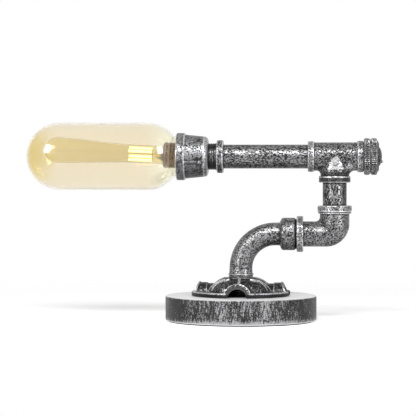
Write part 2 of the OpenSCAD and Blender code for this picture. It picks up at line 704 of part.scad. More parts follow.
module terminal_block() color("white") translate([block_x, -block_size[1] / 2, well_top - block_size[2]])
    difference() {
        cube(block_size);
        translate([block_size[0] / 2, block_size[1] / 2, 0]) for (y = [-lead_y, lead_y]) {
            for (x = [-screw_x, screw_x]) translate([x, y, -1]) cylinder(r = 1.7, h = 4.6, $fn = 32);
            translate([-block_size[0], y, block_size[2] / 2]) rotate([0, 90, 0])
                cylinder(r = lead_r + thread_gap, h = 2 * block_size[0], $fn = 32);
        }
    }

module terminal_screws() color("silver")
    translate([block_x + block_size[0] / 2, 0, well_top - block_size[2]])
    for (x = [-screw_x, screw_x], y = [-lead_y, lead_y]) translate([x, y, 0.5]) difference() {
        cylinder(r = 1.6, h = block_size[2] / 2 - lead_r - 0.6, $fn = 32);
        translate([-2, -0.25, -eps]) cube([4, 0.5, 0.8]);
    }

// The run that the live and the neutral lead share: from the block up to the tee
module lead_to_tee(y, end_z) translate([0, y, 0]) {
    along_arm(lead_bend, lead_base_z) cylinder(r = lead_r, h = block_x + 8 - lead_bend, $fn = 24);
    translate([0, 0, lead_base_z + lead_bend]) mirror([0, 0, 1]) quarter_bend(lead_bend, lead_r);
    translate([0, 0, lead_base_z + lead_bend])
        cylinder(r = lead_r, h = bend_top - lead_base_z - lead_bend, $fn = 24);
    translate([0, 0, bend_top]) quarter_bend(bend_r, lead_r);
    along_arm(bend_r, low_z) cylinder(r = lead_r, h = riser_x - elbow_r - bend_r, $fn = 24);
    translate([riser_x, 0, elbow_z]) rotate([0, 180, 0]) quarter_bend(elbow_r, lead_r);
    translate([riser_x, 0, elbow_z]) cylinder(r = lead_r, h = end_z - elbow_z, $fn = 24);
}

module live_lead() color("sienna") {
    lead_to_tee(-lead_y, arm_z - lead_z - lead_bend);
    translate([riser_x, -lead_y, arm_z - lead_z - lead_bend]) quarter_bend(lead_bend, lead_r);
    translate([0, -lead_y, -lead_z]) along_arm(riser_x + lead_bend)
        cylinder(r = lead_r, h = switch_back_x - riser_x - lead_bend, $fn = 24);
}

module neutral_lead() color("white") {
    lead_to_tee(lead_y, arm_z - lead_z - lead_bend);
    translate([riser_x, lead_y, arm_z - lead_z - lead_bend]) rotate(180) quarter_bend(lead_bend, lead_r);
    translate([0, lead_y, -lead_z]) along_arm(lead_tip_x)
        cylinder(r = lead_r, h = riser_x - lead_bend - lead_tip_x, $fn = 24);
}

module switched_lead() color("sienna") translate([0, -lead_y, lead_z]) along_arm(lead_tip_x)
    cylinder(r = lead_r, h = switch_back_x - lead_tip_x, $fn = 24);

base_disc();
base_pad();
cable_grommet();
floor_flange();
flange_screws();
sweep_bend();
street_elbow();
riser_nipple();
pipe_tee();
arm_pipe();
arm_collar();
neck_nipple();
socket_bell();
grip_ring();
shade_glass();
holder_body();
holder_shell();
holder_contact();
holder_terminals();
holder_nipple();
holder_nut();
bulb_glass();
bulb_cap();
bulb_insulator();
bulb_tip();
bulb_stem();
filament_wires();
filaments();
switch_body();
switch_bushing();
end_plug();
lock_ring();
switch_shaft();
switch_knob();
terminal_block();
terminal_screws();
live_lead();
neutral_lead();
switched_lead();
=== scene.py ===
import json
import math

import bpy
from mathutils import Matrix, Vector


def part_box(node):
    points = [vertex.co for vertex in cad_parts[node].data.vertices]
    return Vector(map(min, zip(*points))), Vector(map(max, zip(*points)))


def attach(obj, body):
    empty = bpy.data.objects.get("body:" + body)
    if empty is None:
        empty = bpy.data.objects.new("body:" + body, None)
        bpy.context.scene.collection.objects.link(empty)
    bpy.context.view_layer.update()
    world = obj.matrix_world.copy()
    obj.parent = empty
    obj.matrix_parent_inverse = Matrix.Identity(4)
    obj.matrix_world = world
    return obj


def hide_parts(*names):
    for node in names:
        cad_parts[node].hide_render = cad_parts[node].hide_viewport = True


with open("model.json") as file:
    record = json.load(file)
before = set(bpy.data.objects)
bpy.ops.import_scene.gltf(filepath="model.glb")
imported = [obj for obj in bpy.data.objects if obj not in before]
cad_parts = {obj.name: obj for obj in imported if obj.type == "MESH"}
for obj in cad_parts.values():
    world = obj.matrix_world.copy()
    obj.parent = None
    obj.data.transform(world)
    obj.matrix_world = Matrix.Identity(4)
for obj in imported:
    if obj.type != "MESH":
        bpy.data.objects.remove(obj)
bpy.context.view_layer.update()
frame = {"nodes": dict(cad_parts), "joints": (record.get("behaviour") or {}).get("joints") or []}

bl_info = {
    "name": "Amber glass pipe lamp",
    "version": (1, 0, 0),
    "blender": (4, 5, 0),
    "location": "3D View > Sidebar > Pipe Lamp",
    "description": "Dresses a table lamp of iron pipe fittings with an amber glass shade",
    "category": "Add Mesh",
}

MM = 0.001
AXIS_Z = sum(corner.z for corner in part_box("arm_pipe")) / 2
# Degrees by which the flange is turned about Z
FLANGE_TURN = -2.5
JOINTS = {joint["name"]: joint for joint in frame["joints"]}


def node_size(node):
    """Width, depth and height of a node of the frame."""
    low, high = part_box(node)
    return high - low


def node_radius(node):
    """Radius of a round node that lies along the arm."""
    return node_size(node).y / 2


# Settings that a user would change

class IronSettings(bpy.types.PropertyGroup):
    """Colours and grain of the dry-brushed iron."""

    paint: bpy.props.FloatVectorProperty(
        name="Black paint", description="Colour of the paint in the hollows of the casting",
        subtype="COLOR", size=3, min=0, max=1, default=(0.006, 0.006, 0.0065))
    silver: bpy.props.FloatVectorProperty(
        name="Brushed silver", description="Colour of the silver brushed over the high spots",
        subtype="COLOR", size=3, min=0, max=1, default=(0.26, 0.26, 0.265))
    fleck: bpy.props.FloatProperty(
        name="Fleck size", description="Size of the specks of silver",
        unit="LENGTH", min=0.0004, max=0.006, default=0.0015)
    edge: bpy.props.FloatProperty(
        name="Worn edge", description="Width of the worn line along each edge",
        unit="LENGTH", min=0.0, max=0.004, default=0.0015)


class BaseSettings(bpy.types.PropertyGroup):
    """Colours and streaks of the round base."""

    paint: bpy.props.FloatVectorProperty(
        name="Dark grey", description="Colour of the base between its streaks",
        subtype="COLOR", size=3, min=0, max=1, default=(0.01, 0.01, 0.0105))
    silver: bpy.props.FloatVectorProperty(
        name="Streak silver", description="Colour of the silver drawn down the side",
        subtype="COLOR", size=3, min=0, max=1, default=(0.26, 0.26, 0.265))
    rim: bpy.props.FloatVectorProperty(
        name="Pale top", description="Colour of the rubbed top face and of the two worn rims",
        subtype="COLOR", size=3, min=0, max=1, default=(0.65, 0.65, 0.66))
    streak: bpy.props.FloatProperty(
        name="Streak width", description="Width of one brushed streak",
        unit="LENGTH", min=0.0004, max=0.006, default=0.0011)


class GlassSettings(bpy.types.PropertyGroup):
    """Tints and walls of the shade and the bulb."""

    body_tint: bpy.props.FloatVectorProperty(
        name="Shade tint", description="What one wall of the shade lets through",
        subtype="COLOR", size=3, min=0, max=1, default=(0.925, 0.864, 0.728))
    tip_tint: bpy.props.FloatVectorProperty(
        name="Tip tint", description="What the wall lets through at the closed end",
        subtype="COLOR", size=3, min=0, max=1, default=(0.86, 0.725, 0.31))
    neck_tint: bpy.props.FloatVectorProperty(
        name="Neck tint", description="What the wall lets through beside the bell",
        subtype="COLOR", size=3, min=0, max=1, default=(0.94, 0.92, 0.80))
    bulb_tint: bpy.props.FloatVectorProperty(
        name="Bulb tint", description="What one wall of the bulb lets through",
        subtype="COLOR", size=3, min=0, max=1, default=(0.915, 0.865, 0.66))
    shade_wall: bpy.props.FloatProperty(
        name="Shade wall", description="Thickness of the shade's glass",
        unit="LENGTH", min=0.001, max=0.002, default=0.0018)
    bulb_wall: bpy.props.FloatProperty(
        name="Bulb wall", description="Thickness of the bulb's glass",
        unit="LENGTH", min=0.0005, max=0.001, default=0.0009)
    glow: bpy.props.FloatProperty(
        name="Filament glow", description="Brightness of the filament sticks",
        min=0, max=20, default=3.0)


class StudioSettings(bpy.types.PropertyGroup):
    """Camera, lamps and floor."""

    lens: bpy.props.FloatProperty(
        name="Lens", description="Focal length in millimetres", min=35, max=300, default=158.6)
    floor_colour: bpy.props.FloatVectorProperty(
        name="Floor", description="Colour of the floor", subtype="COLOR", size=3, min=0, max=1,
        default=(0.82, 0.82, 0.82))
    key_power: bpy.props.FloatProperty(
        name="Key lamp", description="Power of the soft lamp above the front", unit="POWER",
        min=0, max=100, default=17.0)
    strip_power: bpy.props.FloatProperty(
        name="Strip lamps", description="Power of each tall soft lamp beside the camera", unit="POWER",
        min=0, max=100, default=8.0)
    window_power: bpy.props.FloatProperty(
        name="Window lamps", description="Power of each small square lamp that the glass mirrors",
        unit="POWER", min=0, max=100, default=9.0)
    sky: bpy.props.FloatProperty(
        name="Sky", description="Strength of the white surroundings on matt surfaces",
        min=0, max=2, default=0.15)


# Modelling helpers

def deselect_all():
    """Clears the selection, so that an operator acts on the new piece alone."""
    bpy.ops.object.select_all(action="DESELECT")


def make_active(piece):
    """Selects one piece alone and makes it the active one."""
    deselect_all()
    piece.select_set(True)
    bpy.context.view_layer.objects.active = piece


def arc(centre_r, centre_z, radius, start, end, steps):
    """Points of an outline along an arc, its angles in degrees from the radial direction."""
    turns = [math.radians(start + (end - start) * i / steps) for i in range(steps + 1)]
    return [(centre_r + radius * math.cos(t), centre_z + radius * math.sin(t)) for t in turns]


def turned(name, outline, steps):
    """A round piece about Z, drawn out ring by ring along an outline of (radius, height) points, and
    closed at its last ring."""
    deselect_all()
    first_r, first_z = outline[0]
    bpy.ops.mesh.primitive_circle_add(vertices=steps, radius=first_r, location=(0, 0, first_z))
    piece = bpy.context.object
    piece.name = piece.data.name = name
    bpy.ops.object.transform_apply(location=True, rotation=True, scale=True)
    bpy.ops.object.mode_set(mode="EDIT")
    bpy.ops.mesh.select_all(action="SELECT")
    for (r0, z0), (r1, z1) in zip(outline, outline[1:]):
        bpy.ops.mesh.extrude_edges_move(TRANSFORM_OT_translate={"value": (0, 0, z1 - z0)})
        bpy.ops.transform.resize(value=(r1 / r0, r1 / r0, 1))
    bpy.ops.mesh.edge_face_add()
    bpy.ops.mesh.select_all(action="SELECT")
    bpy.ops.mesh.remove_doubles(threshold=0.01 * MM)
    bpy.ops.mesh.normals_make_consistent(inside=False)
    bpy.ops.object.mode_set(mode="OBJECT")
    return piece


def apply_modifier(piece, kind, **settings):
    """Adds a modifier with these settings and applies it."""
    make_active(piece)
    modifier = piece.modifiers.new(kind.title(), kind)
    for name, value in settings.items():
        setattr(modifier, name, value)
    bpy.ops.object.modifier_apply(modifier=modifier.name)


def smooth(piece, angle=35):
    """Shades a piece smooth across every edge flatter than the angle."""
    make_active(piece)
    bpy.ops.object.shade_smooth_by_angle(angle=math.radians(angle))


def lean_along(start, direction):
    """The matrix that lays a piece drawn along Z on a leaning axis from its start point."""
    turn = Vector(direction).to_track_quat("Z", "X").to_matrix().to_4x4()
    return Matrix.Translation(start) @ turn


def settle(piece, place):
    """Moves a finished piece to its place and applies the move to its mesh."""
    make_active(piece)
    piece.matrix_world = place
    bpy.ops.object.transform_apply(location=True, rotation=True, scale=True)


def show_windows(piece):
    """Lets a clear piece mirror the window lamps, and keeps off it the lamps that would streak it."""
    for name, state in (("all_but_glass", "EXCLUDE"), ("glass_alone", "INCLUDE")):
        group = bpy.data.collections[name]
        group.objects.link(piece)
        group.collection_objects[-1].light_linking.link_state = state


def seat(piece, body, slot_name, finish, *nodes):
    """Gives a finished piece its body and its finish, and hides the nodes that it stands for. slot_name is
    not used.
    """
    piece.data.materials.clear()
    piece.data.materials.append(finish)
    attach(piece, body)
    if nodes:
        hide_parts(*nodes)


def dress(node, finish):
    """Gives a node of the frame its finish."""
    for slot_place in frame["nodes"][node].material_slots:
        slot_place.material = finish


# Finish helpers

def plug(tree, socket, value):
    """Links a socket to another node's output, or sets its own value."""
    if isinstance(value, bpy.types.NodeSocket):
        tree.links.new(value, socket)
    else:
        socket.default_value = value


def start_finish(name):
    """A new material: its tree, its shader and the place of each point on the object."""
    finish = bpy.data.materials.new(name)
    finish.use_nodes = True
    tree = finish.node_tree
    shader = tree.nodes["Principled BSDF"]
    place = tree.nodes.new("ShaderNodeTexCoord").outputs["Object"]
    return finish, tree, shader, place


def stretched(tree, place, scale):
    """The place of each point, scaled along X, Y and Z."""
    node = tree.nodes.new("ShaderNodeMapping")
    plug(tree, node.inputs["Vector"], place)
    node.inputs["Scale"].default_value = scale
    return node.outputs["Vector"]


def turned_place(tree, place, degrees):
    """The place of each point, turned about Z."""
    node = tree.nodes.new("ShaderNodeMapping")
    plug(tree, node.inputs["Vector"], place)
    node.inputs["Rotation"].default_value = (0, 0, math.radians(degrees))
    return node.outputs["Vector"]


def noise(tree, place, size, detail=2.0, rough=0.5):
    """Noise whose spots are about this size in metres."""
    node = tree.nodes.new("ShaderNodeTexNoise")
    plug(tree, node.inputs["Vector"], place)
    node.inputs["Scale"].default_value = 1 / size
    node.inputs["Detail"].default_value = detail
    node.inputs["Roughness"].default_value = rough
    return node.outputs["Fac"]


def calc(tree, operation, first, second=0.0):
    """One step of arithmetic."""
    node = tree.nodes.new("ShaderNodeMath")
    node.operation = operation
    plug(tree, node.inputs[0], first)
    plug(tree, node.inputs[1], second)
    return node.outputs[0]


def swing(tree, value, amount):
    """Turns noise from 0 to 1 into a swing of this amount about 0."""
    return calc(tree, "MULTIPLY", calc(tree, "SUBTRACT", value, 0.5), amount)


def ease(tree, value, low, high, start=0.0, end=1.0):
    """Turns a value from low to high into one that runs smoothly from start to end."""
    node = tree.nodes.new("ShaderNodeMapRange")
    node.interpolation_type = "SMOOTHSTEP"
    for name, number in (("Value", value), ("From Min", low), ("From Max", high),
                         ("To Min", start), ("To Max", end)):
        plug(tree, node.inputs[name], number)
    return node.outputs["Result"]


def mix_colour(tree, share, first, second):
    """Two colours mixed by a share."""
    node = tree.nodes.new("ShaderNodeMix")
    node.data_type = "RGBA"
    plug(tree, node.inputs["Factor"], share)
    for socket, colour in ((node.inputs[6], first), (node.inputs[7], second)):
        plug(tree, socket, colour if isinstance(colour, bpy.types.NodeSocket) else (*colour[:3], 1))
    return node.outputs[2]


def mix_number(tree, share, first, second):
    """Two numbers mixed by a share."""
    node = tree.nodes.new("ShaderNodeMix")
    node.data_type = "FLOAT"
    for socket, value in ((node.inputs[0], share), (node.inputs[2], first), (node.inputs[3], second)):
        plug(tree, socket, value)
    return node.outputs[0]


def raise_surface(tree, shader, height, depth, strength):
    """Bumps the surface by a height from 0 to 1 that stands for this depth."""
    node = tree.nodes.new("ShaderNodeBump")
    node.inputs["Distance"].default_value = depth
    node.inputs["Strength"].default_value = strength
    plug(tree, node.inputs["Height"], height)
    plug(tree, shader.inputs["Normal"], node.outputs["Normal"])


def near_surface(tree, distance, inside):
    """How much a point is hemmed in: along sharp edges from inside, in corners from outside."""
    node = tree.nodes.new("ShaderNodeAmbientOcclusion")
    node.inside = inside
    node.samples = 6
    node.inputs["Distance"].default_value = distance
    return calc(tree, "SUBTRACT", 1.0, node.outputs["AO"])


def split(tree, place):
    """The X, Y and Z of a place."""
    node = tree.nodes.new("ShaderNodeSeparateXYZ")
    plug(tree, node.inputs[0], place)
    return node.outputs


def length(tree, first, second):
    """How long the line is that goes this far along two axes."""
    squares = [calc(tree, "MULTIPLY", part, part) for part in (first, second)]
    return calc(tree, "SQRT", calc(tree, "ADD", *squares))


def within(tree, value, low, high, blur):
    """1 where a value lies from low to high, and 0 beyond, with a blurred change."""
    return calc(tree, "MULTIPLY", ease(tree, value, low - blur, low), ease(tree, value, high + blur, high))


def wavering_x(tree, place, size):
    """How far along X each point lies, wavering a little, so that no tint ends in a straight line."""
    waver = swing(tree, noise(tree, place, size), 20 * MM)
    return calc(tree, "ADD", split(tree, place)[0], waver)


# Finishes

def iron_finish(name, settings, share, wear=1.0, reach=None, drawn=None):
    """Black casting with silver dry-brushed over its high spots and worn along its edges. share says how
    much of it the flecks cover, and wear how far its edges are worn. reach gives at each point the painted
    shade that takes flecks away, and the wear and painted highlight that add silver. Concave angles keep no
    flecks: the dry brush leaves them black, and this also paints the shade that gathers in them. drawn is
    the axis along which the brush drew its flecks out."""
    finish, tree, shader, place = start_finish(name)
    spots = place
    if drawn is not None:
        spots = stretched(tree, place, [0.55 if axis == drawn else 1.15 for axis in range(3)])
    grain = noise(tree, spots, settings.fleck, 3, 0.68)
    fine = noise(tree, place, settings.fleck / 2.6, 2, 0.6)
    patches = noise(tree, place, settings.fleck * 9)
    level = calc(tree, "ADD", calc(tree, "ADD", grain, swing(tree, fine, 0.5)), swing(tree, patches, 0.2))
    bare_below = 0.64 - 0.2 * share
    flecks = ease(tree, level, bare_below, bare_below + 0.08)
    edges = ease(tree, near_surface(tree, settings.edge, True), 0.15, 0.42)
    edges = calc(tree, "MULTIPLY", edges, ease(tree, level, 0.35, 0.5, 0.35, 1.0))
    brushed = calc(tree, "MAXIMUM", flecks, calc(tree, "MULTIPLY", edges, wear))
    # No flecks in concave angles: the dry brush leaves them black, and this also paints the shade there
    corners = ease(tree, near_surface(tree, settings.edge * 2, False), 0.12, 0.38)
    brushed = calc(tree, "MULTIPLY", brushed, calc(tree, "SUBTRACT", 1.0, corners))
    # reach takes flecks away with painted shade, and adds silver for wear and painted highlights
    if reach:
        painted_shade, rubbed_and_highlit = reach(tree, place)
        brushed = calc(tree, "MULTIPLY", brushed, painted_shade)
        rubbed_and_highlit = calc(tree, "MULTIPLY", rubbed_and_highlit, ease(tree, level, 0.38, 0.52, 0.2, 0.8))
        brushed = calc(tree, "MAXIMUM", brushed, rubbed_and_highlit)
        edges = calc(tree, "MAXIMUM", edges, rubbed_and_highlit)
    # Brighter silver on worn edges and on painted highlights
    worn_and_highlit_silver = [min(1.0, 2.3 * channel) for channel in settings.silver]
    silver = mix_colour(tree, edges, settings.silver, worn_and_highlit_silver)
    plug(tree, shader.inputs["Base Color"], mix_colour(tree, brushed, settings.paint, silver))
    plug(tree, shader.inputs["Metallic"], mix_number(tree, brushed, 0.0, 0.95))
    plug(tree, shader.inputs["Roughness"], mix_number(tree, brushed, 0.4, 0.39))
    shader.inputs["Specular IOR Level"].default_value = 0.15
    raise_surface(tree, shader, level, 0.1 * MM, 0.7)
    return finish


def flange_wear_and_light(tree, place):
    """Painted shade darkens the side of the flange's plate and the mouths of its tunnels. Its rim and the
    hoops of its arches are worn and painted lighter along their tops as a highlight, and its ribs carry a
    painted highlight."""
    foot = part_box("floor_flange")[0].z
    rim_r = node_size("floor_flange").x / 2
    tunnel_r = 11 * MM
    x, y, z = split(tree, turned_place(tree, place, -FLANGE_TURN))
    x, y = calc(tree, "ABSOLUTE", x), calc(tree, "ABSOLUTE", y)
    height = calc(tree, "SUBTRACT", z, foot)
    across, along = calc(tree, "MINIMUM", x, y), calc(tree, "MAXIMUM", x, y)
    from_tunnel, from_middle = length(tree, across, height), length(tree, across, along)
    arch = ease(tree, along, 40 * MM, 43 * MM)
    # Painted shade on the plate's side and in the mouths of the tunnels
    side = ease(tree, height, 2.9 * MM, 3.5 * MM, 0.05, 1.0)
    mouth = ease(tree, from_tunnel, tunnel_r, tunnel_r + 0.8 * MM, 0.1, 1.0)
    painted_shade = calc(tree, "MULTIPLY", side, mix_number(tree, arch, 1.0, mouth))
    # Worn rim and hoops, painted lighter along their tops as a highlight
    rim = calc(tree, "MULTIPLY", ease(tree, from_middle, rim_r - 2.6 * MM, rim_r - 1.8 * MM),
               within(tree, height, 3.7 * MM, 5.5 * MM, 0.4 * MM))
    rim = calc(tree, "MULTIPLY", rim, ease(tree, from_tunnel, tunnel_r + 0.8 * MM, tunnel_r + 1.6 * MM))
    hoops = within(tree, from_tunnel, tunnel_r + 2.6 * MM, tunnel_r + 3.3 * MM, 0.4 * MM)
    hoops = calc(tree, "MULTIPLY", arch, hoops)
    hoops = calc(tree, "MULTIPLY", hoops, ease(tree, height, 4 * MM, 5 * MM, 0.0, 0.3))
    # Painted highlight along the dome's ribs
    ribs = calc(tree, "MULTIPLY", ease(tree, across, 1.6 * MM, 1.1 * MM),
                ease(tree, from_middle, 33 * MM, 31 * MM))
    ribs = calc(tree, "MULTIPLY", ribs, ease(tree, height, 11 * MM, 12 * MM))
    rubbed_and_highlit = calc(tree, "MAXIMUM", calc(tree, "MAXIMUM", rim, hoops), ribs)
    return painted_shade, rubbed_and_highlit


def end_wear_and_light(node, *ends, patches=(), shaded_spans=()):
    """The bands at these ends of a fitting are worn and painted lighter as a highlight, and worn most along
    their two edges. Each end is an axis, its side, the band's width and how far it is worn and painted
    lighter. Each patch is a painted highlight, pointed at its top: the X and Z of its top, its half width
    and its height. Each shaded span is an axis and two places on it, between which painted shade leaves
    this share of the flecks."""
    def reach(tree, place):
        spot, (low, high) = split(tree, place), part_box(node)
        line = 1.1
        rubbed_and_highlit = 0.0
        for axis, side, width, strength in ends:
            limits = (high[axis], spot[axis]) if side > 0 else (spot[axis], low[axis])
            depth = calc(tree, "SUBTRACT", *limits)
            band = ease(tree, depth, width, width - 0.4 * MM, 0.0, strength)
            near = ease(tree, depth, 1.2 * MM, 0.6 * MM, 0.0, line)
            far = calc(tree, "MULTIPLY", within(tree, depth, width - 1.1 * MM, width, 0.3 * MM), line)
            for part in (band, near, far):
                rubbed_and_highlit = calc(tree, "MAXIMUM", rubbed_and_highlit, part)
        # Painted highlights, pointed at their tops
        for top_x, top_z, half_width, tall in patches:
            away = calc(tree, "SUBTRACT", spot[0], top_x)
            away = calc(tree, "MULTIPLY", calc(tree, "MULTIPLY", away, away), tall / half_width ** 2)
            drop = calc(tree, "ADD", spot[2], away)
            patch = calc(tree, "MULTIPLY", ease(tree, drop, top_z, top_z - 1.5 * MM),
                         ease(tree, spot[2], top_z - tall, top_z - tall + 0.8 * MM))
            rubbed_and_highlit = calc(tree, "MAXIMUM", rubbed_and_highlit, patch)
        # Painted shade along spans of an axis
        painted_shade = 1.0
        for axis, full, empty, share in shaded_spans:
            painted_shade = calc(tree, "MULTIPLY", painted_shade, ease(tree, spot[axis], full, empty, 1.0, share))
        return painted_shade, rubbed_and_highlit

    return reach


def base_finish(name, settings):
    """Dark grey disc with silver streaks drawn down its side, painted shade towards its left and right, a
    pale top that is worn silver also painted lighter for the light falling on it, and worn rims.
    """
    finish, tree, shader, place = start_finish(name)
    low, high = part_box("base_disc")
    across, _, height = split(tree, place)
    streaks = noise(tree, stretched(tree, place, (1, 1, 0.16)), settings.streak, 3, 0.65)
    specks = noise(tree, place, settings.streak, 3, 0.65)
    patches = noise(tree, stretched(tree, place, (1, 1, 0.4)), 14 * MM)
    level = calc(tree, "ADD", mix_number(tree, 0.5, streaks, specks), swing(tree, patches, 0.22))
    # Painted shade: darker towards the disc's left and right, a little lighter in its middle
    shaded_sides = ease(tree, calc(tree, "ABSOLUTE", across), 40 * MM, 70 * MM, 0.01, -0.05)
    level = calc(tree, "ADD", level, shaded_sides)
    foot = ease(tree, height, low.z + 5.5 * MM, low.z + 0.3 * MM)
    lip = ease(tree, height, high.z - 1.1 * MM, high.z - 0.5 * MM)
    rims = calc(tree, "MAXIMUM", foot, lip)
    level = calc(tree, "ADD", level, calc(tree, "MULTIPLY", rims, 0.12))
    brushed = ease(tree, level, 0.49, 0.6)
    # The pale top is worn silver, painted lighter for the light falling on it from above; the bottom band
    # is a worn rim
    top = ease(tree, height, high.z - 0.6 * MM, high.z - 0.1 * MM)
    bottom = ease(tree, height, low.z + 1.4 * MM, low.z + 0.5 * MM)
    pale = calc(tree, "MAXIMUM", top, bottom)
    brushed = mix_number(tree, pale, brushed, ease(tree, level, 0.3, 0.55, 0.75, 1.0))
    silver = mix_colour(tree, pale, settings.silver, settings.rim)
    plug(tree, shader.inputs["Base Color"], mix_colour(tree, brushed, settings.paint, silver))
    plug(tree, shader.inputs["Metallic"], mix_number(tree, pale, calc(tree, "MULTIPLY", brushed, 0.4), 0.2))
    plug(tree, shader.inputs["Roughness"], mix_number(tree, streaks, 0.36, 0.5))
    shader.inputs["Specular IOR Level"].default_value = 0.2
    raise_surface(tree, shader, level, 0.4 * MM, 0.7)
    return finish


def metal_finish(name, colour, rough, groove_dirt_and_shade=None):
    """Plain bright metal with fine scratches and dull spots. The last argument, if given, is the dark
    colour in its grooves, which stands for dirt and painted shade there.
    """
    finish, tree, shader, place = start_finish(name)
    scratches = noise(tree, stretched(tree, place, (0.15, 1, 1)), 0.8 * MM, 3, 0.6)
    spots = noise(tree, place, 6.4 * MM)
    dull = [0.7 * channel for channel in colour]
    colour = mix_colour(tree, ease(tree, spots, 0.4, 0.7), colour, dull)
    if groove_dirt_and_shade:
        # Darker in the grooves: dirt and painted shade
        grooves = ease(tree, near_surface(tree, 1.5 * MM, False), 0.05, 0.3)
        colour = mix_colour(tree, grooves, colour, groove_dirt_and_shade)
    plug(tree, shader.inputs["Base Color"], colour)
    shader.inputs["Metallic"].default_value = 1.0
    plug(tree, shader.inputs["Roughness"], mix_number(tree, spots, rough - 0.08, rough + 0.12))
    raise_surface(tree, shader, scratches, 0.1 * MM, 0.4)
    return finish


def moulded_finish(name, colour, rough, grain_size=0.6 * MM, depth=0.1 * MM):
    """Moulded plastic, rubber or felt with a fine grain and slight colour drift."""
    finish, tree, shader, place = start_finish(name)
    grain = noise(tree, place, grain_size, 3, 0.6)
    drift = noise(tree, place, grain_size * 20)
    pale = [min(1.0, channel * 1.25 + 0.01) for channel in colour]
    plug(tree, shader.inputs["Base Color"], mix_colour(tree, drift, colour, pale))
    plug(tree, shader.inputs["Roughness"], mix_number(tree, grain, rough - 0.06, rough + 0.1))
    raise_surface(tree, shader, grain, depth, 0.6)
    return finish


def glass_finish(name, tint_at):
    """Clear tinted glass with a faint hand-blown ripple. tint_at gives the tint's socket or colour."""
    finish, tree, shader, place = start_finish(name)
    plug(tree, shader.inputs["Base Color"], tint_at(tree, place))
    shader.inputs["Transmission Weight"].default_value = 1.0
    shader.inputs["IOR"].default_value = 1.36
    shader.inputs["Roughness"].default_value = 0.0
    shader.inputs["Coat Weight"].default_value = 1.0
    shader.inputs["Coat Roughness"].default_value = 0.18
    shader.inputs["Coat IOR"].default_value = 1.4
    waves = noise(tree, stretched(tree, place, (0.5, 1, 1)), 30 * MM, 0, 0.4)
    raise_surface(tree, shader, waves, 0.03 * MM, 0.5)
    return finish


def shade_tint(settings):
    """The shade's tint: deep at the closed end, plain along the body but a little darker on its lower half
    as painted shade, and pale at the neck.
    """
    low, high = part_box("shade_glass")

    def tint(tree, place):
        along = wavering_x(tree, place, 30 * MM)
        tip = ease(tree, along, low.x + 26 * MM, low.x + 2 * MM)
        neck = ease(tree, along, high.x - 42 * MM, high.x - 14 * MM)
        # Painted shade: the lower half of the body a little darker
        shaded_below = ease(tree, split(tree, place)[2], AXIS_Z, AXIS_Z - 28 * MM)
        shaded_body_tint = [0.98 * channel for channel in settings.body_tint]
        body = mix_colour(tree, shaded_below, settings.body_tint, shaded_body_tint)
        body = mix_colour(tree, tip, body, settings.tip_tint)
        return mix_colour(tree, neck, body, settings.neck_tint)

    return tint


def bulb_tint(settings):
    """The bulb's tint: deeper towards the cap."""
    tip_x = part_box("bulb_glass")[0].x

    def tint(tree, place):
        clear = ease(tree, wavering_x(tree, place, 20 * MM), tip_x + 60 * MM, tip_x)
        paler = [min(1, 1.03 * channel) for channel in settings.bulb_tint]
        return mix_colour(tree, clear, settings.bulb_tint, paler)

    return tint


def glow_finish(name, colour, strength):
    """Yellow filament coating that glows, a little uneven along its length."""
    finish, tree, shader, place = start_finish(name)
    grain = noise(tree, place, 1.2 * MM, 3, 0.6)
    warm = [colour[0], colour[1] * 0.9, colour[2] * 0.6]
    shade = mix_colour(tree, grain, warm, colour)
    plug(tree, shader.inputs["Base Color"], shade)
    plug(tree, shader.inputs["Emission Color"], shade)
    shader.inputs["Emission Strength"].default_value = strength
    shader.inputs["Roughness"].default_value = 0.6
    raise_surface(tree, shader, grain, 0.1 * MM, 0.5)
    return finish


# Operators

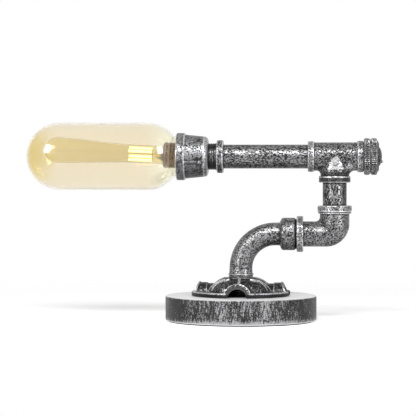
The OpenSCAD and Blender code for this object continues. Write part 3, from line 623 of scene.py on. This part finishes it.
class LAMP_OT_studio(bpy.types.Operator):
    """Sets up the camera, the soft lamps, the pale floor and the white surroundings."""

    bl_idname = "lamp.studio"
    bl_label = "Studio"

    CAMERA_AT = (0.074, -1.83, 0.151)
    LOOK_AT = (-0.033, 0.0, 0.1128)
    MIDDLE = (0, 0, 0.1)
    FLOOR_RADIUS = 3.0
    FLOOR_GLOW = 0.47
    # How far out from the middle the floor starts to fade to white, and where it is white
    FADE_START, FADE_END = 0.12, 0.7
    # Each lamp: its azimuth and elevation, how far it stands off, its width and height, the setting
    # with its power and the group of pieces that it lights
    LAMPS = {
        "key_softbox": (-6, 44, 1.3, 0.9, 0.36, "key_power", "all_but_glass"),
        "left_strip": (-36, 12, 1.2, 0.22, 0.8, "strip_power", "all_but_glass"),
        "right_strip": (48, 12, 1.2, 0.22, 0.8, "strip_power", "all_but_glass"),
        "left_window": (-47, 24, 1.1, 0.34, 0.42, "window_power", "glass_alone"),
        "right_window": (47, 24, 1.1, 0.34, 0.42, "window_power", "glass_alone"),
    }

    def aim(self, thing, place, target):
        """Puts a camera or lamp at a place and points it at a target."""
        thing.location = place
        thing.rotation_euler = (Vector(target) - Vector(place)).to_track_quat("-Z", "Y").to_euler()

    def soft_lamp(self, name, place, width, height, power, group):
        """A rectangular lamp aimed at the middle of the object, which lights one group of pieces."""
        deselect_all()
        bpy.ops.object.light_add(type="AREA")
        lamp = bpy.context.object
        lamp.name = name
        lamp.data.shape = "RECTANGLE"
        lamp.data.size, lamp.data.size_y = width, height
        lamp.data.energy = power
        lamp.visible_camera = False
        lamp.light_linking.receiver_collection = group
        self.aim(lamp, place, self.MIDDLE)

    def around(self, azimuth, elevation, distance):
        """A place round the object: azimuth 0 is the front, and positive to the right."""
        a, e = math.radians(azimuth), math.radians(elevation)
        away = Vector((math.sin(a) * math.cos(e), -math.cos(a) * math.cos(e), math.sin(e)))
        return Vector(self.MIDDLE) + distance * away

    def seen_directly(self, tree):
        """1 for rays that come from the eye, a reflection or through glass, and 0 for other light."""
        rays = tree.nodes.new("ShaderNodeLightPath").outputs
        seen = calc(tree, "MAXIMUM", rays["Is Camera Ray"], rays["Is Glossy Ray"])
        return calc(tree, "MAXIMUM", seen, rays["Is Transmission Ray"])

    def floor_finish(self, settings):
        """Pale matt floor that fades to white with distance and keeps the shadow."""
        finish, tree, shader, place = start_finish("pale_floor")
        tree.nodes.remove(shader)
        seen = self.seen_directly(tree)
        matt = tree.nodes.new("ShaderNodeBsdfDiffuse")
        matt.inputs["Color"].default_value = (*settings.floor_colour, 1)
        glow = tree.nodes.new("ShaderNodeEmission")
        plug(tree, glow.inputs["Strength"], calc(tree, "MULTIPLY", seen, self.FLOOR_GLOW))
        near = tree.nodes.new("ShaderNodeAddShader")
        plug(tree, near.inputs[0], matt.outputs[0])
        plug(tree, near.inputs[1], glow.outputs[0])
        white = tree.nodes.new("ShaderNodeEmission")
        across, along, _ = split(tree, place)
        far = ease(tree, length(tree, across, along), self.FADE_START, self.FADE_END)
        both = tree.nodes.new("ShaderNodeMixShader")
        plug(tree, both.inputs[0], calc(tree, "MULTIPLY", far, seen))
        plug(tree, both.inputs[1], near.outputs[0])
        plug(tree, both.inputs[2], white.outputs[0])
        plug(tree, tree.nodes["Material Output"].inputs["Surface"], both.outputs[0])
        return finish

    def add_camera(self, context, settings):
        """The camera, from the front and a little to the right."""
        deselect_all()
        bpy.ops.object.camera_add()
        camera = context.object
        camera.data.lens = settings.lens
        self.aim(camera, self.CAMERA_AT, self.LOOK_AT)
        context.scene.camera = camera

    def add_floor(self, context, settings):
        """The round floor."""
        deselect_all()
        bpy.ops.mesh.primitive_circle_add(vertices=64, radius=self.FLOOR_RADIUS, fill_type="NGON")
        floor = context.object
        floor.name = "studio_floor"
        floor.data.materials.append(self.floor_finish(settings))

    def add_world(self, context, settings):
        """Surroundings that are white to the eye and weak as a light."""
        world = bpy.data.worlds.new("white_surroundings")
        world.use_nodes = True
        context.scene.world = world
        tree = world.node_tree
        sky = tree.nodes["Background"]
        sky.inputs["Color"].default_value = (1, 1, 1, 1)
        plug(tree, sky.inputs["Strength"], mix_number(tree, self.seen_directly(tree), settings.sky, 1.0))

    def execute(self, context):
        settings = context.scene.lamp_studio
        self.add_camera(context, settings)
        groups = {name: bpy.data.collections.new(name) for name in ("all_but_glass", "glass_alone")}
        for name, (azimuth, elevation, distance, width, height, power, group) in self.LAMPS.items():
            place = self.around(azimuth, elevation, distance)
            self.soft_lamp(name, place, width, height, getattr(settings, power), groups[group])
        self.add_floor(context, settings)
        self.add_world(context, settings)
        context.scene.view_settings.view_transform = "Standard"
        return {"FINISHED"}


class LAMP_OT_iron_fittings(bpy.types.Operator):
    """Gives the flange, bends, tee, pipes, collar and bell their dry-brushed iron."""

    bl_idname = "lamp.iron_fittings"
    bl_label = "Iron fittings"

    def brush(self, node, share, *ends, wear=1.0, drawn=None, patches=(), shaded_spans=()):
        """Dresses one fitting, with the wear and painted highlight on its ends, its painted highlight
        patches and its painted shade.
        """
        reach = end_wear_and_light(node, *ends, patches=patches, shaded_spans=shaded_spans)
        dress(node, iron_finish("brushed_" + node, self.settings, share, wear, reach=reach, drawn=drawn))

    def execute(self, context):
        self.settings = context.scene.lamp_iron
        band = 6.2 * MM
        left, right, up, down = (0, -1, band), (0, 1, band), (2, 1, band), (2, -1, band)
        riser_x = sum(corner.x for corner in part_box("riser_nipple")) / 2
        nub_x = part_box("socket_bell")[0].x + 24 * MM
        # Painted highlights: two pointed spots on the tee where its branch meets its run, and one round the
        # bell's nub
        tee_highlights = ((riser_x + 1 * MM, AXIS_Z + 0.5 * MM, 8.8 * MM, 14 * MM),
                     (riser_x + 15 * MM, AXIS_Z - 6 * MM, 4 * MM, 6 * MM))
        nub_highlight = (nub_x, AXIS_Z - 3.4 * MM, 2.4 * MM, 4.2 * MM)
        dress("floor_flange", iron_finish("brushed_flange", self.settings, 0.36, 0.6, reach=flange_wear_and_light))
        # Band ends are worn, and painted lighter as a highlight as far as each band catches the light. The
        # spans listed last paint shade: the riser's right side, the tee's branch under its run, the
        # collar's lower part and the neck's top and bottom.
        self.brush("sweep_bend", 0.85, (*right, 0.35))
        self.brush("street_elbow", 0.85, (*up, 0.15))
        self.brush("riser_nipple", 0.78, wear=0.6, drawn=2,
                   shaded_spans=((0, riser_x + 6 * MM, riser_x + 9 * MM, 0.35),))
        self.brush("pipe_tee", 0.75, (*left, 0.4), (*right, 0.3), (*down, 0.0), patches=tee_highlights,
                   shaded_spans=((2, AXIS_Z - 14.6 * MM, AXIS_Z - 15.6 * MM, 0.25),))
        self.brush("arm_pipe", 0.78, wear=0.6, drawn=0)
        self.brush("arm_collar", 0.75, (0, -1, node_size("arm_collar").x, 0.0),
                   shaded_spans=((2, AXIS_Z - 4 * MM, AXIS_Z - 10 * MM, 0.4),))
        self.brush("neck_nipple", 0.45, shaded_spans=((2, AXIS_Z + 5 * MM, AXIS_Z + 9 * MM, 0.1),
                                                 (2, AXIS_Z - 2 * MM, AXIS_Z - 6 * MM, 0.1)))
        # The bell's narrow end is worn and painted lighter as a highlight on its round shoulder; its lower
        # half carries painted shade
        self.brush("socket_bell", 0.85, (0, -1, 8.9 * MM, 0.1), (0, 1, 4.5 * MM, 0.6), patches=(nub_highlight,),
                   shaded_spans=((2, AXIS_Z + 2 * MM, AXIS_Z - 7 * MM, 0.5),))
        knurl = iron_finish("worn_knurl", self.settings, 0.5, 0.6)
        for node in ("lock_ring", "switch_knob"):
            dress(node, knurl)
        return {"FINISHED"}


class LAMP_OT_petal_ribs(bpy.types.Operator):
    """Raises the four ribs that frame the petals of the flange beside its left and right tunnels."""

    bl_idname = "lamp.petal_ribs"
    bl_label = "Petal ribs"

    # A rib is part of a disc whose centre lies out from the flange's middle and below its foot
    RADIUS = 23.4 * MM
    THICK = 2.0 * MM
    EDGE = 0.35 * MM
    BESIDE = 14.4 * MM
    CENTRE_OUT = 11.2 * MM
    CENTRE_DROP = 6.2 * MM
    INNER_END = 10.5 * MM
    IN_PLATE = 3.5 * MM

    def model_rib(self, foot):
        """A rib on the right of the flange's middle: a thin upright disc, cut off inside the plate
        and at the flange's mouth."""
        deselect_all()
        bpy.ops.mesh.primitive_cylinder_add(
            vertices=128, radius=self.RADIUS, depth=self.THICK, rotation=(math.pi / 2, 0, 0),
            location=(self.CENTRE_OUT, 0, foot - self.CENTRE_DROP))
        rib = bpy.context.object
        bpy.ops.object.transform_apply(location=True, rotation=True, scale=True)
        apply_modifier(rib, "BEVEL", width=self.EDGE, segments=2)
        cuts = (((0, 0, foot + self.IN_PLATE), (0, 0, 1)), ((self.INNER_END, 0, 0), (1, 0, 0)))
        bpy.ops.object.mode_set(mode="EDIT")
        for point, direction in cuts:
            bpy.ops.mesh.select_all(action="SELECT")
            bpy.ops.mesh.bisect(plane_co=point, plane_no=direction, use_fill=True, clear_inner=True)
        bpy.ops.object.mode_set(mode="OBJECT")
        smooth(rib)
        return rib

    def execute(self, context):
        low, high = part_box("floor_flange")
        middle = Matrix.Translation(((low.x + high.x) / 2, (low.y + high.y) / 2, 0))
        middle = middle @ Matrix.Rotation(math.radians(FLANGE_TURN), 4, "Z")
        finish = iron_finish("brushed_ribs", context.scene.lamp_iron, 0.35)
        model = self.model_rib(low.z)
        for across, turn in (("left", math.pi), ("right", 0)):
            for along, beside in (("front", -self.BESIDE), ("rear", self.BESIDE)):
                make_active(model)
                bpy.ops.object.duplicate()
                rib = context.object
                rib.name = rib.data.name = "petal_rib_%s_%s" % (along, across)
                settle(rib, middle @ Matrix.Translation((0, beside, 0)) @ Matrix.Rotation(turn, 4, "Z"))
                seat(rib, "lamp", "black_iron", finish)
        make_active(model)
        bpy.ops.object.delete()
        return {"FINISHED"}


class LAMP_OT_base(bpy.types.Operator):
    """Finishes the base disc, its pad, its grommet and the screws under it."""

    bl_idname = "lamp.base"
    bl_label = "Base"

    def execute(self, context):
        dress("base_disc", base_finish("streaked_base", context.scene.lamp_base))
        dress("base_pad", moulded_finish("felt_pad", (0.012, 0.012, 0.012), 0.9, 0.5 * MM, 0.3 * MM))
        dress("cable_grommet", moulded_finish("black_rubber", (0.014, 0.014, 0.014), 0.7))
        dress("flange_screws", metal_finish("plated_steel", (0.55, 0.55, 0.56), 0.32))
        return {"FINISHED"}


class LAMP_OT_shade(bpy.types.Operator):
    """Blows the amber shade as one glass shell from its lip to its closed end."""

    bl_idname = "lamp.shade"
    bl_label = "Glass shade"

    SHOULDER_GAP = 0.8 * MM
    SHOULDER_WIDTH = 13.7 * MM
    FLARE = 2.5 * MM

    def outline(self, neck_r, body_r, neck_len, tip):
        """Outer outline from the lip in the bell, over the shoulder, to the closed end."""
        reach = math.sqrt((body_r + self.FLARE) ** 2 - (neck_r + self.FLARE) ** 2)
        shoulder_z = self.SHOULDER_GAP + reach
        meet = math.degrees(math.atan2(-reach, neck_r + self.FLARE))
        points = [(neck_r, -neck_len), (neck_r, -neck_len / 2)]
        points += arc(neck_r + self.FLARE, self.SHOULDER_GAP, self.FLARE, 180, 180 + meet, 8)
        points += arc(0, shoulder_z, body_r, meet, 0, 22)[1:]
        points += [(body_r, shoulder_z + (tip - body_r - shoulder_z) * i / 6) for i in range(1, 6)]
        points += arc(0, tip - body_r, body_r, 0, 89.2, 40)
        return points

    def execute(self, context):
        settings = context.scene.lamp_glass
        low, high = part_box("shade_glass")
        body_r = node_radius("shade_glass")
        mouth = Vector((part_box("socket_bell")[0].x, 0, AXIS_Z))
        axis = Vector((low.x + body_r - mouth.x, 0, high.z - body_r - mouth.z)).normalized()
        neck_r = body_r - self.SHOULDER_WIDTH
        tip = (mouth.x - low.x) / -axis.x
        neck_len = (high.x - mouth.x - neck_r * axis.z) / -axis.x
        shade = turned("blown_shade", self.outline(neck_r, body_r, neck_len, tip), 128)
        apply_modifier(shade, "SOLIDIFY", thickness=settings.shade_wall, offset=-1, use_even_offset=True)
        smooth(shade, 40)
        settle(shade, lean_along(mouth, axis))
        finish = glass_finish("amber_glass", shade_tint(settings))
        seat(shade, "shade", "amber_glass", finish, "shade_glass")
        show_windows(shade)
        return {"FINISHED"}


class LAMP_OT_bulb(bpy.types.Operator):
    """Makes the long bulb: glass, stem, wires, filament sticks, screw cap and tip."""

    bl_idname = "lamp.bulb"
    bl_label = "Bulb"

    NECK_LEN = 39.8 * MM
    FLARE_STEPS = 20
    FLARE_EASE = 0.35

    def distance_at(self, x):
        """How far along the bulb's axis from its start a point of the axis with this X lies."""
        return (x - self.start.x) / self.axis.x

    def outline(self, first, neck_r, body_r, tip):
        """Outer outline from the neck in the cap, over the slow flare, to the round tip."""
        flare, body = first + self.NECK_LEN, tip - body_r
        points = [(neck_r, first + (flare - first) * i / 4) for i in range(4)]
        for i in range(self.FLARE_STEPS):
            share = i / self.FLARE_STEPS
            eased = share * share * (3 - 2 * share)
            widened = eased * self.FLARE_EASE + share * (1 - self.FLARE_EASE)
            points.append((neck_r + (body_r - neck_r) * widened, flare + (body - flare) * share))
        return points + arc(0, body, body_r, 0, 88.5, 24)

    def make_glass(self, settings):
        """Blows the bulb's glass and settles it on the leaning axis."""
        low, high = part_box("bulb_glass")
        body_r, neck_r = node_radius("bulb_glass"), node_radius("bulb_insulator")
        first = self.distance_at(high.x - neck_r * abs(self.axis.z))
        glass = turned("blown_bulb", self.outline(first, neck_r, body_r, self.distance_at(low.x)), 96)
        apply_modifier(glass, "SOLIDIFY", thickness=settings.bulb_wall, offset=-1, use_even_offset=True)
        smooth(glass, 40)
        settle(glass, lean_along(self.start, self.axis))
        finish = glass_finish("bulb_glass", bulb_tint(settings))
        seat(glass, "bulb", "amber_bulb_glass", finish, "bulb_glass")
        show_windows(glass)

    def execute(self, context):
        settings = context.scene.lamp_glass
        self.axis = Vector(JOINTS["bulb_back_out"]["axis"])
        tip_middle = sum(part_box("bulb_tip"), Vector()) / 2
        self.start = tip_middle - self.axis * (node_size("bulb_tip").x / 2)
        self.make_glass(settings)
        # The cap's grooves darkened with dirt and painted shade
        cap = metal_finish("cap_metal", (0.3, 0.21, 0.14), 0.28, groove_dirt_and_shade=(0.012, 0.004, 0.003))
        dress("bulb_cap", cap)
        dress("bulb_insulator", moulded_finish("black_glass", (0.01, 0.01, 0.012), 0.2))
        dress("bulb_tip", metal_finish("solder", (0.5, 0.5, 0.5), 0.4))
        dress("bulb_stem", glass_finish("clear_glass", lambda tree, place: (0.96, 0.76, 0.3, 1)))
        dress("filament_wires", metal_finish("support_wire", (0.6, 0.58, 0.52), 0.3))
        dress("filaments", glow_finish("filament_coat", (1.0, 0.9, 0.56), settings.glow))
        return {"FINISHED"}


class LAMP_OT_inner_parts(bpy.types.Operator):
    """Finishes what the pipes and the bell hold: lampholder, switch, terminal block and leads."""

    bl_idname = "lamp.inner_parts"
    bl_label = "Inner parts"

    def execute(self, context):
        steel = metal_finish("inner_steel", (0.5, 0.5, 0.51), 0.35)
        brass = metal_finish("brass", (0.62, 0.46, 0.2), 0.3)
        for node in ("holder_nipple", "holder_nut", "switch_bushing", "switch_shaft", "end_plug",
                     "terminal_screws"):
            dress(node, steel)
        for node in ("holder_shell", "holder_contact", "holder_terminals"):
            dress(node, brass)
        dress("holder_body", moulded_finish("brown_moulding", (0.09, 0.045, 0.025), 0.45))
        dress("switch_body", moulded_finish("black_moulding", (0.02, 0.02, 0.02), 0.4))
        dress("grip_ring", moulded_finish("grip_rubber", (0.02, 0.02, 0.02), 0.7))
        dress("terminal_block", moulded_finish("white_nylon", (0.7, 0.7, 0.66), 0.4))
        dress("neutral_lead", moulded_finish("white_insulation", (0.7, 0.7, 0.68), 0.5))
        brown = moulded_finish("brown_insulation", (0.12, 0.05, 0.02), 0.5)
        dress("live_lead", brown)
        dress("switched_lead", brown)
        return {"FINISHED"}


class LAMP_PT_panel(bpy.types.Panel):
    """Lists the lamp's operators and settings in the sidebar."""

    bl_label = "Pipe Lamp"
    bl_idname = "LAMP_PT_panel"
    bl_space_type = "VIEW_3D"
    bl_region_type = "UI"
    bl_category = "Pipe Lamp"

    def draw(self, context):
        for operator in OPERATORS:
            self.layout.operator(operator.bl_idname)
        for name in SETTINGS:
            group = getattr(context.scene, name)
            box = self.layout.box()
            for entry in group.__annotations__:
                box.prop(group, entry)


OPERATORS = (LAMP_OT_studio, LAMP_OT_iron_fittings, LAMP_OT_petal_ribs, LAMP_OT_base, LAMP_OT_shade,
             LAMP_OT_bulb, LAMP_OT_inner_parts)
SETTINGS = {"lamp_iron": IronSettings, "lamp_base": BaseSettings, "lamp_glass": GlassSettings,
            "lamp_studio": StudioSettings}


def register():
    for group in SETTINGS.values():
        bpy.utils.register_class(group)
    for operator in OPERATORS:
        bpy.utils.register_class(operator)
    bpy.utils.register_class(LAMP_PT_panel)
    for name, group in SETTINGS.items():
        setattr(bpy.types.Scene, name, bpy.props.PointerProperty(type=group))


def unregister():
    for name in SETTINGS:
        delattr(bpy.types.Scene, name)
    bpy.utils.unregister_class(LAMP_PT_panel)
    for operator in reversed(OPERATORS):
        bpy.utils.unregister_class(operator)
    for group in reversed(SETTINGS.values()):
        bpy.utils.unregister_class(group)


def main():
    register()
    bpy.ops.lamp.studio()
    bpy.ops.lamp.iron_fittings()
    bpy.ops.lamp.petal_ribs()
    bpy.ops.lamp.base()
    bpy.ops.lamp.shade()
    bpy.ops.lamp.bulb()
    bpy.ops.lamp.inner_parts()


if __name__ == "__main__":
    main()
